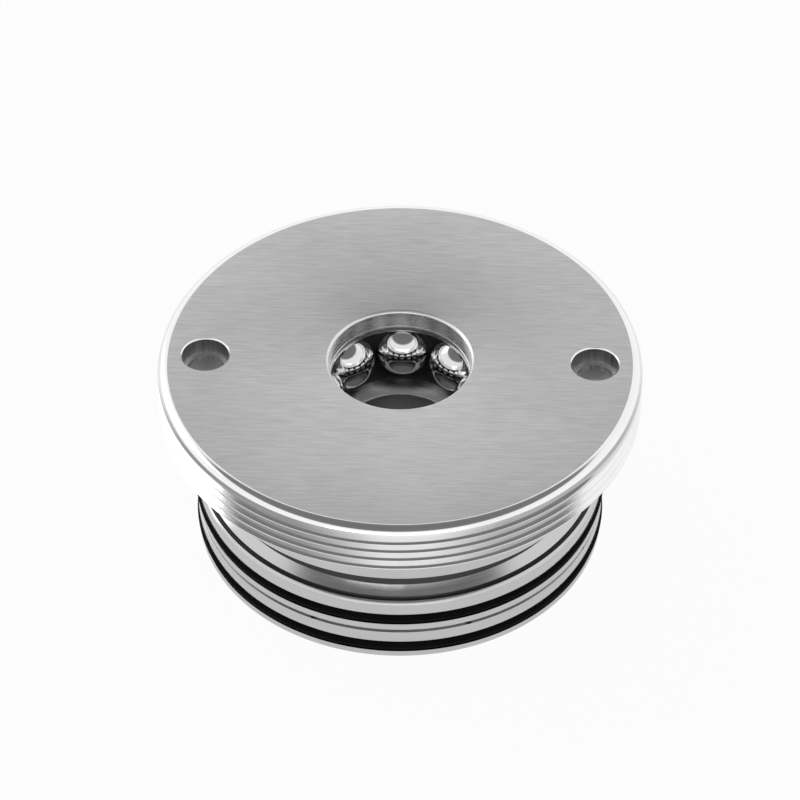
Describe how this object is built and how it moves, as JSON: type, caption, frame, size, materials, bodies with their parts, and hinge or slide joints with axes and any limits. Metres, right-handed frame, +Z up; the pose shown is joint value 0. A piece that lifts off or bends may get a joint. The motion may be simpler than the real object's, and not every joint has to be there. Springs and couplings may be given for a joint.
{
  "type": "zero-point locator",
  "caption": "Round pneumatic zero-point locator with threaded rim, sealed spigot, central stud bore and a ring of locking balls pushed in by a sprung piston.",
  "frame": {"origin": "centre of the flat bottom face", "axes": "+Z up along the stud bore; +X through one spanner hole; the picture is taken from the -Y side"},
  "size_m": [0.112, 0.112, 0.0491],
  "materials": {
    "cover_steel": "linear brushed top, turned rim",
    "body_steel": "fine turned",
    "base_steel": "fine turned",
    "seat_steel": "ground and polished",
    "cage_black": "black oxide",
    "dowel_steel": "ground",
    "piston_steel": "ground",
    "ball_steel": "mirror polished",
    "spring_steel": "drawn wire",
    "seal_rubber": "satin black",
    "guide_plastic": "bronze filled",
    "screw_black": "black oxide",
    "washer_brass": "plain"
  },
  "bodies": {
    "housing": {"flange_cover": "cover_steel", "cylinder_body": "body_steel", "base_cover": "base_steel", "seat_ring": "seat_steel", "ball_cage": "cage_black", "cage_dowels": "dowel_steel", "upper_body_seal": "seal_rubber", "lower_body_seal": "seal_rubber", "sleeve_seal": "seal_rubber", "base_seal": "seal_rubber", "cover_seal": "seal_rubber", "tie_screws": "screw_black", "seal_washers": "washer_brass", "spring_1": "spring_steel", "spring_2": "spring_steel", "spring_3": "spring_steel", "spring_4": "spring_steel", "spring_5": "spring_steel", "spring_6": "spring_steel", "spring_7": "spring_steel", "spring_8": "spring_steel"},
    "piston": {"piston": "piston_steel", "piston_seal": "seal_rubber", "piston_guide_ring": "guide_plastic", "piston_guide_band": "guide_plastic"},
    "ball_1": {"ball_1": "ball_steel"},
    "ball_2": {"ball_2": "ball_steel"},
    "ball_3": {"ball_3": "ball_steel"},
    "ball_4": {"ball_4": "ball_steel"},
    "ball_5": {"ball_5": "ball_steel"},
    "ball_6": {"ball_6": "ball_steel"},
    "ball_7": {"ball_7": "ball_steel"},
    "ball_8": {"ball_8": "ball_steel"}
  },
  "joints": [
    {"name": "piston_slide", "type": "slide", "parent": "housing", "child": "piston", "axis": [0, 0, -1], "range_m": [0, 0.008], "stiffness_N_per_m": 20000, "springref_m": -0.004, "deforming": ["spring_1", "spring_2", "spring_3", "spring_4", "spring_5", "spring_6", "spring_7", "spring_8"]},
    {"name": "ball_1_slide", "type": "slide", "parent": "housing", "child": "ball_1", "axis": [1, 0, 0], "range_m": [0, 0.00425]},
    {"name": "ball_2_slide", "type": "slide", "parent": "housing", "child": "ball_2", "axis": [0.7071, 0.7071, 0], "range_m": [0, 0.00425]},
    {"name": "ball_3_slide", "type": "slide", "parent": "housing", "child": "ball_3", "axis": [0, 1, 0], "range_m": [0, 0.00425]},
    {"name": "ball_4_slide", "type": "slide", "parent": "housing", "child": "ball_4", "axis": [-0.7071, 0.7071, 0], "range_m": [0, 0.00425]},
    {"name": "ball_5_slide", "type": "slide", "parent": "housing", "child": "ball_5", "axis": [-1, 0, 0], "range_m": [0, 0.00425]},
    {"name": "ball_6_slide", "type": "slide", "parent": "housing", "child": "ball_6", "axis": [-0.7071, -0.7071, 0], "range_m": [0, 0.00425]},
    {"name": "ball_7_slide", "type": "slide", "parent": "housing", "child": "ball_7", "axis": [0, -1, 0], "range_m": [0, 0.00425]},
    {"name": "ball_8_slide", "type": "slide", "parent": "housing", "child": "ball_8", "axis": [0.7071, -0.7071, 0], "range_m": [0, 0.00425]}
  ],
  "couplings": [
    {"joint": "ball_1_slide", "follows": "piston_slide", "ratio": 0.53125},
    {"joint": "ball_2_slide", "follows": "piston_slide", "ratio": 0.53125},
    {"joint": "ball_3_slide", "follows": "piston_slide", "ratio": 0.53125},
    {"joint": "ball_4_slide", "follows": "piston_slide", "ratio": 0.53125},
    {"joint": "ball_5_slide", "follows": "piston_slide", "ratio": 0.53125},
    {"joint": "ball_6_slide", "follows": "piston_slide", "ratio": 0.53125},
    {"joint": "ball_7_slide", "follows": "piston_slide", "ratio": 0.53125},
    {"joint": "ball_8_slide", "follows": "piston_slide", "ratio": 0.53125}
  ]
}
